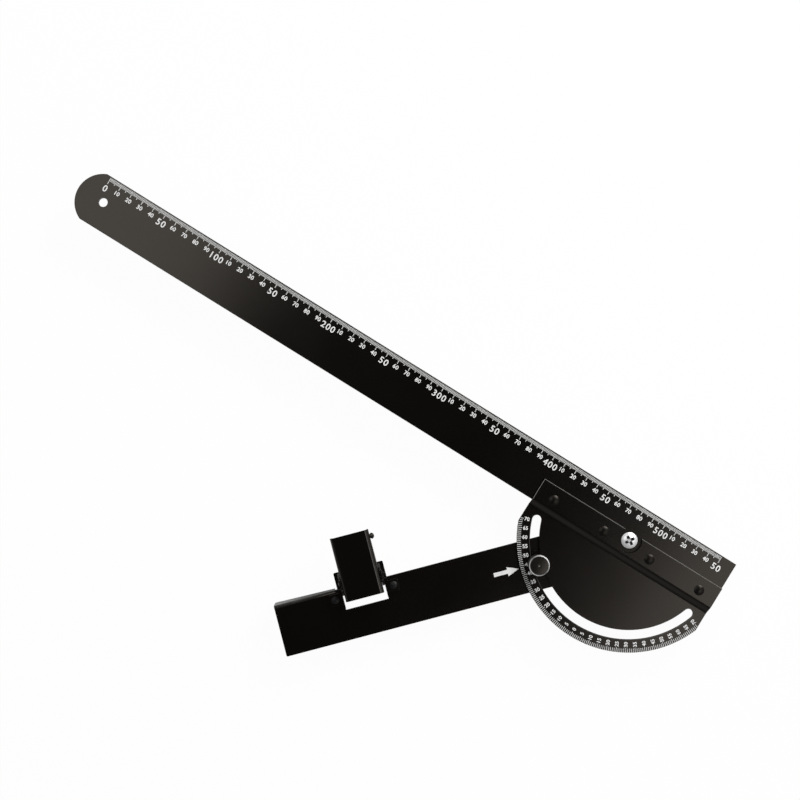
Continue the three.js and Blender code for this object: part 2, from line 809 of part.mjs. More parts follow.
// Toe block: swivels on the toe pin, round over the pin and flat below for its sole.
function toeBlock() {
  const half = toeLength / 2;
  const foot = rulerUnder + toeSoleThickness;
  const meeting = Math.asin(Math.min(1, toeTopRadius / half)) / 2;
  const side = outline(
    [toePinOut - half, foot],
    [toePinOut + half, foot],
    arc(toePinOut, toePinHeight, toeTopRadius, meeting, Math.PI - meeting),
  );
  const wide = toeWidth / 2;
  const bore = clearHole(toePinOut, toePinHeight, toePinDiameter);
  return cut(
    sweep(side, axisY, axisZ, -wide, wide),
    sweep(bore, axisY, axisZ, -wide - cutOverrun, wide + cutOverrun),
  );
}

// Toe sole: the rubber under the block, level with the ruler's underside.
function toeSole() {
  const wide = toeWidth / 2;
  const half = toeLength / 2;
  const plan = roundedOutline([
    [-wide, toePinOut - half, toeCornerRadius],
    [wide, toePinOut - half, toeCornerRadius],
    [wide, toePinOut + half, toeCornerRadius],
    [-wide, toePinOut + half, toeCornerRadius],
  ]);
  return slab(plan, rulerUnder, rulerUnder + toeSoleThickness);
}

const anodised = { color: 0x1b1a1a, roughness: 0.5, metalness: 0.6 };
const painted = { color: 0x0d0d0d, roughness: 0.42, metalness: 0.1 };
const plated = { color: 0xcfd2d3, roughness: 0.25, metalness: 1 };
const springSteel = { color: 0x9a9c9e, roughness: 0.3, metalness: 1 };
const nylon = { color: 0xe6e3da, roughness: 0.6, metalness: 0 };
const moulded = { color: 0x161616, roughness: 0.55, metalness: 0 };
const rubber = { color: 0x101010, roughness: 0.85, metalness: 0 };

// One named piece in its own finish.
function piece(name, geometry, finish) {
  const mesh = new THREE.Mesh(geometry, new THREE.MeshStandardMaterial(finish));
  mesh.name = name;
  return mesh;
}

// Pieces fixed to the ruler
const root = new THREE.Group();
root.add(piece("ruler_blade", rulerBlade(), anodised));
const pivot = new THREE.Group();
pivot.position.set(pivotX, pivotY, 0);
root.add(pivot);
pivot.add(piece("protractor_plate", protractorPlate(), painted));
plateRivetXs.forEach((x, index) => {
  const rivet = piece("plate_rivet_" + (index + 1), plateRivet(), painted);
  rivet.position.set(x, plateRivetY, 0);
  root.add(rivet);
});
pivot.add(
  piece("pivot_screw", pivotScrew(), plated),
  piece("pivot_bush", washer(bushDiameter, pivotShank, bushEnd, rulerTop), plated),
  piece("pivot_washer", washer(pivotWasherDiameter, pivotShank, pivotWasherUnder, bushEnd), plated),
  piece("pivot_nut", pivotNut(), plated),
  piece("nut_ring", washer(nutRingDiameter(), pivotShank, nutCollarEnd, nutUnder), nylon),
);
const nylonLow = armTop + runningGap;
const nylonHigh = rulerUnder - runningGap;
pivot.add(piece("friction_washer", washer(frictionWasherDiameter, bushDiameter, nylonLow, nylonHigh), nylon));

// The swinging arm: its own +X runs out along it, and its -Y side meets the board.
const arm = new THREE.Group();
arm.rotation.z = -quarterTurn - armAngleDegrees * degree;
pivot.add(arm);
arm.add(piece("fence_arm", fenceArm(), painted));

// The lock on its stud
const lock = new THREE.Group();
lock.position.set(slotRadius, 0, 0);
arm.add(lock);
const lockWasherTop = lockWasherFoot + lockWasherThickness;
lock.add(
  piece("lock_stud", lockStud(), plated),
  piece("lock_washer", washer(lockWasherDiameter, studDiameter, lockWasherFoot, lockWasherTop), plated),
  piece("lock_knob", lockKnob(), anodised),
);

// The hold-down, set on the fence's face and turned to look out over the board
const holdDown = new THREE.Group();
holdDown.position.set(leverFromPivot, fenceFace, 0);
holdDown.rotation.z = Math.PI;
arm.add(holdDown);
holdDown.add(piece("lever_bracket", leverBracket(), painted));
bracketRivetXs.forEach((x, index) => {
  const rivet = piece("bracket_rivet_" + (index + 1), bracketRivet(), painted);
  rivet.position.set(x, -bracketRivetInside, 0);
  holdDown.add(rivet);
});
holdDown.add(
  piece("hold_down_lever", holdDownLever(), painted),
  piece("hinge_pin", hingePin(), painted),
  piece("hinge_clip", hingeClip(), painted),
  piece("lever_spring", leverSpring(), springSteel),
  piece("toe_pin", toePin(), painted),
  piece("toe_block", toeBlock(), moulded),
  piece("toe_sole", toeSole(), rubber),
);

export default root;
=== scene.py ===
import json
import math

import bmesh
import bpy
from bpy.props import FloatProperty, FloatVectorProperty, IntProperty, PointerProperty
from mathutils import Matrix, Vector

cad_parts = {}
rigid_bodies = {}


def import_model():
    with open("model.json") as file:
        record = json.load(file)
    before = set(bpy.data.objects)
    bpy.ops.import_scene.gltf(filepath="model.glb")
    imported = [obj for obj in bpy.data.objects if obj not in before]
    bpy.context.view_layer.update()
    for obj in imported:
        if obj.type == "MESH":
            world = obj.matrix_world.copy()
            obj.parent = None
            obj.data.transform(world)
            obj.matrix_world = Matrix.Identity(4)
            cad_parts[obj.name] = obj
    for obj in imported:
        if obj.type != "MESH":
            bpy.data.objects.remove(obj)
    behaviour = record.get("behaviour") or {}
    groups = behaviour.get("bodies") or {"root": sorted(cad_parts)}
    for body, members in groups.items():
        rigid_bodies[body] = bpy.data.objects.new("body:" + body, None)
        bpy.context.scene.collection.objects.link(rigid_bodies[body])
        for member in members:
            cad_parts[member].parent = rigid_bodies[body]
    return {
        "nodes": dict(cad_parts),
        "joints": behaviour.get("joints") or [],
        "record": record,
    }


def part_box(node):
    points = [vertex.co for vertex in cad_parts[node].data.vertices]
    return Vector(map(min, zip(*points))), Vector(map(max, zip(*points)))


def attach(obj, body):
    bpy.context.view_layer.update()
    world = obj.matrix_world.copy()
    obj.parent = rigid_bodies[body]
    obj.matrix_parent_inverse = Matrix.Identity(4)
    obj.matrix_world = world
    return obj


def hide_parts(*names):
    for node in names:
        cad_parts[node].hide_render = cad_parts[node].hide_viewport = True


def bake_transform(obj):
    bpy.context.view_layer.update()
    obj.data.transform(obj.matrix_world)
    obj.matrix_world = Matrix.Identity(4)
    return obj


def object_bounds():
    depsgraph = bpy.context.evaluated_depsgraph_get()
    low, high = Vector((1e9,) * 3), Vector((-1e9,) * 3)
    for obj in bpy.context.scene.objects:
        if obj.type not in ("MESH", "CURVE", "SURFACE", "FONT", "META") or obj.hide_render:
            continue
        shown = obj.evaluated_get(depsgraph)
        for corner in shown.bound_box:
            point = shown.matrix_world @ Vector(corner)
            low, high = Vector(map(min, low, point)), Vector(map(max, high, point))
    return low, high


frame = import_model()
CAD_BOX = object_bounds()

bl_info = {
    "name": "Saw guide ruler",
    "version": (1, 0, 0),
    "blender": (4, 5, 0),
    "location": "View3D > Sidebar > Saw guide",
    "description": "Printed scales, finishes and turned parts of a saw guide ruler",
    "category": "Mesh",
}

UP = Vector((0, 0, 1))
MM = 0.001

# Points nearer than this are merged, and faces that meet at a smaller angle than this are joined
MERGE = 0.000001
FLAT = math.radians(0.5)

# A face looks along an axis when its normal reaches this far along it
FACING = 0.9

# The degree scale reaches this far to each side
DEGREES = 70

# Height of the grain in a finish
GRAIN_RELIEF = 0.00001

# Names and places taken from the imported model
JOINTS = {joint["name"]: joint for joint in frame["joints"]}
BODIES = frame["record"]["behaviour"]["bodies"]
BODY_OF = {node: body for body, nodes in BODIES.items() for node in nodes}
SLOT_OF = {part["node"]: part["material_slot"] for part in frame["record"]["subparts"]}
PIVOT = Vector(JOINTS["arm_swing"]["pos_m"])
STUD = Vector(JOINTS["knob_turn"]["pos_m"])
HINGE = Vector(JOINTS["lever_tip"]["pos_m"])
PIN_LINE = Vector(JOINTS["lever_tip"]["axis"]).normalized()
RULE_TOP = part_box("ruler_blade")[1].z
ARM_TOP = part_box("fence_arm")[1].z

# The plate's strip lies on the rule and its disc beside the rule, and both are one sheet
PLATE_LOW, PLATE_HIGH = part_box("protractor_plate")
DISC_TOP = PLATE_LOW.z + PLATE_HIGH.z - RULE_TOP


def axes_at(origin, across):
    """The frame with its X along across and its Z up, at a point."""
    side = UP.cross(across)
    turn = Matrix((across, side, UP)).transposed()
    return Matrix.Translation(origin) @ turn.to_4x4()


ARM_AXES = axes_at(PIVOT, (STUD - PIVOT).normalized())
PIN_AXES = axes_at(HINGE, PIN_LINE)


def length(name, text, default):
    return FloatProperty(name=name, description=text, default=default, unit="LENGTH", precision=5, min=0)


def count(name, text, default):
    return IntProperty(name=name, description=text, default=default, min=12)


def colour(name, text, default):
    return FloatVectorProperty(name=name, description=text, default=default, subtype="COLOR", size=3)


class SawGuideSizes(bpy.types.PropertyGroup):
    film: length("Print film", "Thickness of the print", 0.00004)
    scale_margin: length("Scale margin", "Rule's end to the scale's last tick", 0.0128)
    tick_width: length("Tick width", "Width of a millimetre tick", 0.00055)
    tick_from_edge: length("Tick from edge", "Bare metal between guide edge and ticks", 0.00095)
    tick_short: length("Millimetre tick", "Where a millimetre tick ends", 0.0037)
    tick_middle: length("Five tick", "Where a five millimetre tick ends", 0.0049)
    tick_long: length("Ten tick", "Where a ten millimetre tick ends", 0.0063)
    small_top: length("Small numbers' top", "Guide edge to the top of the small numbers", 0.0071)
    small_height: length("Small numbers", "Height of the numbers of the tens", 0.0034)
    big_top: length("Big numbers' top", "Guide edge to the top of the big numbers", 0.0075)
    big_height: length("Big numbers", "Height of the numbers of the fifties", 0.0052)
    number_shift: length("Number shift", "How far the numbers stand past their ticks", 0.0003)
    degree_tick_width: length("Degree tick width", "Width of a degree tick", 0.0005)
    degree_tick_inner: length("Degree tick start", "Radius where a degree tick starts", 0.0832)
    degree_tick_five: length("Five degree start", "Radius where a five degree tick starts", 0.0826)
    degree_tick_outer: length("Degree tick end", "Radius where the degree ticks end", 0.0862)
    degree_label_radius: length("Degree numbers", "Radius of the middle of the degree numbers", 0.0801)
    degree_label_height: length("Degree number height", "Height of the degree numbers", 0.0030)
    arrow_tip: length("Arrow tip", "Distance of the arrow's tip from the pivot", 0.0875)
    arrow_length: length("Arrow length", "Length of the printed arrow", 0.0197)
    arrow_head: length("Arrow head", "Length of the arrow's head", 0.0088)
    arrow_width: length("Arrow width", "Width of the arrow's head", 0.0072)
    arrow_shaft: length("Arrow shaft", "Width of the arrow's shaft", 0.0031)
    plate_edge: length("Plate edge", "Rounding of the protractor plate's edges", 0.0004)
    sheet_edge: length("Sheet edge", "Rounding of the bracket's and the lever's edges", 0.00025)
    small_edge: length("Small edge", "Rounding of nuts, washers and blocks", 0.00015)
    arm_sheet: length("Arm sheet", "Thickness of the arm", 0.002)
    bracket_sheet: length("Bracket sheet", "Thickness of the bracket", 0.0015)
    shoulder_start: length("Shoulder start", "Pivot to where the strip starts to bend down", 0.0098)
    shoulder_reach: length("Shoulder reach", "Width of the soft step between strip and disc", 0.0083)
    slot_outer: length("Slot's outer edge", "Radius of the curved slot's outer edge", 0.0764)
    # The pale lines set by the next three sizes are painted highlights
    worn_edge: length("Worn edge", "Width of the pale line along the plate's edges", 0.0004)
    worn_slot_start: length("Worn slot start", "Pivot down to where the slot's pale line starts", 0.022)
    crease_inset: length("Crease inset", "Lever's side to the pale crease", 0.0021)
    lever_play: length("Lever play", "Gap between the lever and each ear", 0.00008)
    notch_corner: length("Notch corner", "Radius of the arm's notch corners in the solid", 0.0012)
    spring_leg: length("Spring leg", "Width of each leg of the spring along the pin", 0.0012)
    screw_shank: length("Screw shank", "Radius of the screw's shank", 0.003)
    screw_side: length("Screw side", "Height of the upright side of the screw's head", 0.0012)
    recess_reach: length("Recess reach", "Reach of the screw's cross recess", 0.0060)
    recess_width: length("Recess width", "Width of the screw's cross recess", 0.0026)
    recess_depth: length("Recess depth", "Depth of the screw's cross recess", 0.0026)
    recess_turn: FloatProperty(
        name="Recess turn",
        description="How far the cross recess is turned",
        default=math.radians(59.5),
        subtype="ANGLE",
    )
    rivet_head: length("Rivet head", "Radius of the head of a plate's rivet", 0.004)
    rivet_foot: length("Rivet foot", "Radius of the flush foot of a plate's rivet", 0.003)
    rivet_shank: length("Rivet shank", "Radius of the shank of a plate's rivet", 0.002)
    wing_rivet_head: length("Bracket rivet head", "Radius of a bracket rivet's two heads", 0.003)
    wing_rivet_shank: length("Bracket rivet shank", "Radius of a bracket rivet's shank", 0.0016)
    knob_radius: length("Knob radius", "Radius of the knob's grip", 0.0079)
    knob_bore: length("Knob bore", "Radius of the knob's hole", 0.0031)
    bore_depth: length("Bore depth", "Depth of the knob's hole", 0.0092)
    waist_depth: length("Waist depth", "Depth of the groove above the knob's foot", 0.0007)
    crown_rise: length("Crown rise", "Rise of the knob's crown above its chamfer", 0.0006)
    rim_width: length("Bright rim", "Width of the knob's bare chamfer", 0.0007)
    knurl_depth: length("Knurl depth", "Depth of the knob's knurl", 0.00028)
    knurl_ridge: length("Knurl ridge", "Half the width of the ridge between two pits of the knurl", 0.00009)
    knurl_pits: count("Knurl pits", "Pits round the knob", 96)
    turned_steps: count("Turning steps", "Sides of the turned screw", 64)
    rivet_steps: count("Rivet steps", "Sides of a turned rivet", 48)


class SawGuideColours(bpy.types.PropertyGroup):
    anodised: colour("Anodised black", "The rule and the knob", (0.0019, 0.0014, 0.0012))
    coated: colour("Coated black", "Plate, arm and hold-down", (0.0018, 0.0012, 0.0010))
    sheen: colour("Warm sheen", "Tint of the gloss on the black pieces", (1.0, 0.91, 0.80))
    rim: colour("Bare rim", "The knob's bare chamfer", (0.9, 0.9, 0.9))
    # Painted highlight: the pale colour painted along the plate's edges and the lever's crease, where their
    # rounded edges catch the light
    worn: colour("Worn edge", "Thin coat on the plate's edges and the lever's crease", (0.17, 0.165, 0.155))
    satin: colour("Satin head", "The pivot screw's head", (0.93, 0.93, 0.93))
    # Painted shade for the inside of the screw's cross recess
    recess: colour("Recess shade", "Inside of the screw's cross recess", (0.012, 0.012, 0.012))
    print_white: colour("White print", "Numbers and arrow", (0.92, 0.92, 0.91))
    print_grey: colour("Grey print", "The thin ticks", (0.68, 0.68, 0.67))
    zinc: colour("Zinc", "Bush, washers, nut and stud", (0.72, 0.73, 0.74))
    wire: colour("Spring wire", "The lever's spring", (0.42, 0.42, 0.43))
    nylon: colour("Nylon", "Friction washer and nut ring", (0.70, 0.68, 0.61))
    moulded: colour("Moulded black", "The toe's block", (0.012, 0.012, 0.012))
    rubber: colour("Rubber", "The toe's sole", (0.010, 0.010, 0.010))
    floor: colour("Floor", "The studio floor", (0.9, 0.9, 0.9))


def sizes():
    return bpy.context.scene.saw_guide_sizes


def colours():
    return bpy.context.scene.saw_guide_colours


class Signal:
    """A shader value; arithmetic on it adds Math nodes to its finish."""

    def __init__(self, finish, socket):
        self.finish = finish
        self.socket = socket

    def math(self, operation, *others):
        return self.finish.node("ShaderNodeMath", {"operation": operation}, dict(enumerate((self, *others))))

    def __add__(self, other):
        return self.math("ADD", other)

    def __radd__(self, other):
        return self.math("ADD", other)

    def __sub__(self, other):
        return self.math("SUBTRACT", other)

    def __rsub__(self, other):
        return self.finish.node("ShaderNodeMath", {"operation": "SUBTRACT"}, {0: other, 1: self})

    def __mul__(self, other):
        return self.math("MULTIPLY", other)

    def __rmul__(self, other):
        return self.math("MULTIPLY", other)

    def __truediv__(self, other):
        return self.math("DIVIDE", other)

    def __pow__(self, other):
        return self.math("POWER", other)

    def __abs__(self):
        return self.math("ABSOLUTE")

    def step(self, low, high):
        """0 below low and 1 above high, with a straight ramp between."""
        settings = {"interpolation_type": "LINEAR", "clamp": True}
        values = {"Value": self, "From Min": low, "From Max": high}
        return self.finish.node("ShaderNodeMapRange", settings, values)


class Finish:
    """The nodes that make a material's finish, or the world's light."""

    def __init__(self, owner, shader="Principled BSDF"):
        owner.use_nodes = True
        self.material = owner
        self.tree = owner.node_tree
        self.shader = self.tree.nodes[shader]
        self.place = self.node("ShaderNodeTexCoord", output="Object")

    def node(self, kind, settings=None, values=None, output=0):
        """Adds a node, its settings first, then its sockets' values or links, and returns one output."""
        made = self.tree.nodes.new(kind)
        for key, value in (settings or {}).items():
            setattr(made, key, value)
        for key, value in (values or {}).items():
            if isinstance(value, Signal):
                self.tree.links.new(value.socket, made.inputs[key])
            else:
                made.inputs[key].default_value = value
        return Signal(self, made.outputs[output])

    def noise(self, scale, detail):
        """Cloudy noise from 0 to 1 on the piece's own coordinates; scale is in waves to the metre."""
        return self.node("ShaderNodeTexNoise", {}, {"Vector": self.place, "Scale": scale, "Detail": detail})

    def axis(self, letter):
        """One coordinate of the place, in metres."""
        return self.node("ShaderNodeSeparateXYZ", {}, {"Vector": self.place}, output=letter)

    def off(self, centre):
        """How far the place lies from an upright line, in X and in Y."""
        return self.axis("X") - centre.x, self.axis("Y") - centre.y

    def mix(self, share, first, second):
        """A colour between two colours or links."""
        made = self.tree.nodes.new("ShaderNodeMix")
        made.data_type = "RGBA"
        for key, value in (("Factor_Float", share), ("A_Color", first), ("B_Color", second)):
            socket = next(s for s in made.inputs if s.identifier == key)
            if isinstance(value, Signal):
                self.tree.links.new(value.socket, socket)
            else:
                socket.default_value = value if key == "Factor_Float" else (*value, 1)
        return Signal(self, next(s for s in made.outputs if s.identifier == "Result_Color"))

    def bump(self, height, distance, strength):
        values = {"Height": height, "Distance": distance, "Strength": strength}
        self.set(Normal=self.node("ShaderNodeBump", {}, values))

    def set(self, **inputs):
        """Sets or links the shader's sockets; an underscore stands for a space."""
        for key, value in inputs.items():
            socket = self.shader.inputs[key.replace("_", " ")]
            if isinstance(value, Signal):
                self.tree.links.new(value.socket, socket)
            elif socket.type == "RGBA":
                socket.default_value = (*value, 1)
            else:
                socket.default_value = value
        return self

    def rub(self, share, bare):
        """Paints a paler colour over the linked one, by a share; it paints the highlights along edges."""
        so_far = Signal(self, self.shader.inputs["Base Color"].links[0].from_socket)
        return self.set(Base_Color=self.mix(share, so_far, bare))


def new_finish(name):
    return Finish(bpy.data.materials.new(name))


def darker(base, share):
    return [value * share for value in base]


def deselect():
    if bpy.context.object and bpy.context.object.mode != "OBJECT":
        bpy.ops.object.mode_set(mode="OBJECT")
    bpy.ops.object.select_all(action="DESELECT")


def select_only(*pieces):
    deselect()
    for piece in pieces:
        piece.select_set(True)
    bpy.context.view_layer.objects.active = pieces[0]


def edit(piece):
    """Opens one piece in edit mode, all of it selected."""
    select_only(piece)
    bpy.ops.object.mode_set(mode="EDIT")
    bpy.ops.mesh.select_mode(type="VERT")
    bpy.ops.mesh.select_all(action="SELECT")


def end_edit():
    bpy.ops.object.mode_set(mode="OBJECT")


def settle(piece, place=Matrix.Identity(4)):
    """Puts a finished piece in its place, and the place in its mesh."""
    select_only(piece)
    piece.matrix_world = place @ piece.matrix_world
    bpy.ops.object.transform_apply(location=True, rotation=True, scale=True)
    return piece


def close_shell():
    """Merges the doubles of the piece in edit mode, points its faces outwards and ends the editing."""
    bpy.ops.mesh.select_all(action="SELECT")
    bpy.ops.mesh.remove_doubles(threshold=MERGE)
    bpy.ops.mesh.normals_make_consistent(inside=False)
    end_edit()


def name_piece(piece, name):
    piece.name = name
    piece.data.name = name


def join_pieces(name, pieces):
    select_only(*pieces)
    bpy.ops.object.join()
    name_piece(pieces[0], name)
    return pieces[0]


def smooth(piece, degrees=30):
    select_only(piece)
    bpy.ops.object.shade_smooth_by_angle(angle=math.radians(degrees))
    return piece


def spots_of(node, axes):
    """Where the corners of a CAD node lie in the axes."""
    place = axes.inverted()
    return [place @ vertex.co for vertex in frame["nodes"][node].data.vertices]


def lever_half():
    """Half the width of the lever's solid, along the pin."""
    return max(spot.x for spot in spots_of("hold_down_lever", PIN_AXES))


def copy_of(node):
    """A free copy of a CAD node, its loose triangles merged and its flat faces made whole."""
    select_only(frame["nodes"][node])
    bpy.ops.object.duplicate()
    bpy.ops.object.parent_clear(type="CLEAR_KEEP_TRANSFORM")
    piece = bpy.context.object
    name_piece(piece, node + "_dressed")
    for mark in list(piece.keys()):
        del piece[mark]
    edit(piece)
    bpy.ops.mesh.remove_doubles(threshold=MERGE)
    bpy.ops.mesh.dissolve_limited(angle_limit=FLAT)
    end_edit()
    return piece


def apply_modifier(piece, kind, **settings):
    select_only(piece)
    bpy.ops.object.modifier_add(type=kind)
    modifier = piece.modifiers[-1]
    for key, value in settings.items():
        setattr(modifier, key, value)
    bpy.ops.object.modifier_apply(modifier=modifier.name)
    return piece


def soften(piece, edge=0.0, blunt=50):
    """Rounds the sharp edges, and shades the round stretches smoothly beside the flat faces."""
    if edge:
        sharp = math.radians(40)
        apply_modifier(piece, "BEVEL", width=edge, segments=3, limit_method="ANGLE", angle_limit=sharp)
    smooth(piece, blunt)
    return apply_modifier(piece, "WEIGHTED_NORMAL", keep_sharp=True)


def turned(name, profile, steps):
    """A piece turned about Z from its profile's radii and heights, and closed at both ends."""
    deselect()
    bpy.ops.object.add(type="MESH")
    piece = bpy.context.object
    name_piece(piece, name)
    edit(piece)
    radius, height = profile[0]
    bpy.ops.mesh.primitive_circle_add(vertices=steps, radius=radius, location=(0, 0, height))
    for next_radius, next_height in profile[1:]:
        rise = {"value": (0, 0, next_height - height)}
        bpy.ops.mesh.extrude_region_move(TRANSFORM_OT_translate=rise)
        ratio = next_radius / radius
        bpy.ops.transform.resize(value=(ratio, ratio, 1), center_override=(0, 0, next_height))
        radius, height = next_radius, next_height
    bpy.ops.mesh.select_all(action="SELECT")
    bpy.ops.mesh.fill_holes(sides=0)
    close_shell()
    return smooth(piece)


def sphere_of(radius, rise):
    """The radius of the sphere whose cap has this radius and this rise."""
    return (radius * radius + rise * rise) / (2 * rise)


def domed(radius, foot, rise, tip=0.06):
    """Profile points of a dome, from its foot to a small flat at its crown; tip is the flat's share."""
    sphere = sphere_of(radius, rise)
    reach = math.asin(min(1, radius / sphere))
    rings = 7
    shares = [1 - step / rings * (1 - tip) for step in range(rings + 1)]
    return [
        (sphere * math.sin(reach * share), foot + rise - sphere * (1 - math.cos(reach * share)))
        for share in shares
    ]


def block(name, low, high):
    """A box between two corners."""
    deselect()
    low, high = Vector(low), Vector(high)
    bpy.ops.mesh.primitive_cube_add(size=1, location=(low + high) / 2, scale=high - low)
    piece = bpy.context.object
    piece.name = name
    return settle(piece)


def repeat(piece, times, offset):
    return apply_modifier(
        piece,
        "ARRAY",
        count=times,
        use_relative_offset=False,
        use_constant_offset=True,
        constant_offset_displace=offset,
    )


def select_faces(piece, wanted):
    """Selects the faces of the piece in edit mode that pass a test on their place or normal."""
    bpy.ops.mesh.select_mode(type="FACE")
    bpy.ops.mesh.select_all(action="DESELECT")
    mesh = bmesh.from_edit_mesh(piece.data)
    for face in mesh.faces:
        face.select = wanted(face)
    mesh.select_flush_mode()
    bmesh.update_edit_mesh(piece.data)


def cut(piece, tool):
    """Cuts a tool out of a piece and removes the tool."""
    apply_modifier(piece, "BOOLEAN", operation="DIFFERENCE", solver="EXACT", object=tool)
    bpy.data.objects.remove(tool)
    return piece


def label(text, height, bold=0.025, spread=1.04):
    """Flat numbers as a thin solid, centred on the origin and reading along X."""
    deselect()
    bpy.ops.object.text_add()
    words = bpy.context.object
    words.data.body = text
    words.data.size = 1
    words.data.offset = bold
    words.data.resolution_u = 3
    words.data.space_character = spread
    words.data.extrude = 1
    bpy.ops.object.convert(target="MESH")
    words = bpy.context.object
    corners = [Vector(corner) for corner in words.bound_box]
    low = Vector(map(min, *corners))
    high = Vector(map(max, *corners))
    size = height / (high.y - low.y)
    film = sizes().film / 2
    words.matrix_world = Matrix.Diagonal((size, size, film, 1)) @ Matrix.Translation(-(low + high) / 2)
    bpy.ops.object.transform_apply(location=True, rotation=True, scale=True)
    return words


def coat(piece, finish):
    piece.data.materials.clear()
    piece.data.materials.append(finish_named(finish).material)


def ride(piece, body, finish):
    """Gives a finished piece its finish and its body."""
    coat(piece, finish)
    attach(piece, body)


def stand_for(node, piece, finish=None):
    """Puts a piece in a node's stead, on its body and slot, in the slot's finish or one of its own."""
    slot = SLOT_OF[node]
    ride(piece, BODY_OF[node], finish or SLOT_FINISHES[slot])
    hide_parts(node)


def black_finish(name, base, grain=1500, gloss=0.16):
    """A thin black coat: faint clouds, fine grain, and a slightly uneven warm gloss."""
    finish = new_finish(name)
    cloud = finish.noise(22, 3)
    fine = finish.noise(grain, 3)
    finish.set(
        Base_Color=finish.mix(cloud.step(0.35, 0.75), darker(base, 0.8), base),
        Roughness=gloss + 0.05 * cloud + 0.04 * fine,
        Specular_Tint=colours().sheen,
    )
    finish.bump(fine, GRAIN_RELIEF, 0.25)
    return finish


def metal_finish(name, base, rough, scratch):
    """Bare or plated metal: slightly clouded, with fine uneven gloss."""
    finish = new_finish(name)
    cloud = finish.noise(260, 2)
    fine = finish.noise(scratch, 2)
    finish.set(
        Base_Color=finish.mix(cloud.step(0.3, 0.7), darker(base, 0.78), base),
        Metallic=1.0,
        Roughness=rough + 0.12 * fine,
    )
    finish.bump(fine, GRAIN_RELIEF, 0.25)
    return finish


def soft_finish(name, base, rough, grain):
    """Plastic, rubber or print: matt, with a fine grain."""
    finish = new_finish(name)
    cloud = finish.noise(180, 2)
    fine = finish.noise(grain, 2)
    finish.set(
        Base_Color=finish.mix(cloud.step(0.3, 0.7), darker(base, 0.85), base),
        Roughness=rough + 0.1 * fine,
        Specular_IOR_Level=0.3,
    )
    finish.bump(fine, 2 * GRAIN_RELIEF, 0.3)
    return finish


def head_finish():
    """The rivet heads' black, duller than the plate's."""
    return black_finish("black_heads", colours().coated, gloss=0.3).set(Specular_IOR_Level=0.24)


def plate_finish():
    """The plate's black coat, with a painted highlight along the strip's edges and the slot's outer edge."""
    size = sizes()
    finish = black_finish("plate_black", colours().coated)
    worn, slot, start = size.worn_edge, size.slot_outer, size.worn_slot_start
    fade = worn / 4
    height = finish.axis("Z")

    # Painted highlight: a pale line along the strip's guide-side edge and its end at the scale's zero, the
    # edges that catch the light
    guide_side = finish.axis("Y").step(PLATE_HIGH.y - worn - fade, PLATE_HIGH.y - worn)
    zero_end = 1 - finish.axis("X").step(PLATE_LOW.x + worn, PLATE_LOW.x + worn + fade)
    strip_face = PLATE_HIGH.z - size.plate_edge
    edge = guide_side.math("MAXIMUM", zero_end) * height.step(strip_face - fade, strip_face)

    # A fainter painted highlight along the slot's outer edge, below the pivot only
    across, along = finish.off(PIVOT)
    out = (across * across + along * along) ** 0.5
    ring = out.step(slot - fade, slot) * (1 - out.step(slot + worn / 2, slot + worn / 2 + fade))
    low_side = (0 - along).step(start, start + 2 * MM)
    disc_face = DISC_TOP - size.plate_edge - fade
    faint = 0.4
    ring = ring * low_side * height.step(disc_face - fade, disc_face) * faint
    return finish.rub(edge.math("MAXIMUM", ring), colours().worn)


def lever_finish():
    """The lever's black coat, with a painted highlight along the crease of its flange on the pivot's side.
    """
    size = sizes()
    finish = black_finish("lever_black", colours().coated)
    across, along = finish.off(HINGE)
    on_pin = across * PIN_LINE.x + along * PIN_LINE.y
    wide, fade = size.worn_edge / 2, size.worn_edge / 4
    line = lever_half() - size.crease_inset
    # Painted highlight: a pale line painted along the crease, where the bend catches the light
    crease = 1 - (abs(on_pin - line) - wide).step(0, wide)
    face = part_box("hold_down_lever")[1].z - 2 * size.sheet_edge
    crease = crease * finish.axis("Z").step(face - fade, face)
    faint = 0.6
    return finish.rub(crease * faint, colours().worn)


def screw_finish():
    """The pivot screw's bright satin head, its cross recess darkened with painted shade."""
    tints = colours()
    finish = new_finish("screw_bright")
    low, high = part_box("pivot_screw")
    sphere = sphere_of((high.x - low.x) / 2, high.z - RULE_TOP - sizes().screw_side)
    across, along = finish.off(PIVOT)
    square = across * across + along * along
    depth = high.z - square / (2 * sphere) - finish.axis("Z")
    # Painted shade: the recess is painted dark under the dome's face, from its bright middle out to the
    # head's rim.
    sunk = depth.step(0.12 * MM, 0.5 * MM)
    past_middle = square.step((0.9 * MM) ** 2, (1.7 * MM) ** 2)
    within_rim = 1 - square.step((5.3 * MM) ** 2, (5.6 * MM) ** 2)
    shade = sunk * past_middle * within_rim
    fine = finish.noise(2200, 2)
    finish.set(
        Base_Color=finish.mix(shade, tints.satin, tints.recess),
        Metallic=0.4 * (1 - shade),
        Roughness=0.3 + 0.1 * fine,
    )
    finish.bump(fine, GRAIN_RELIEF, 0.2)
    return finish


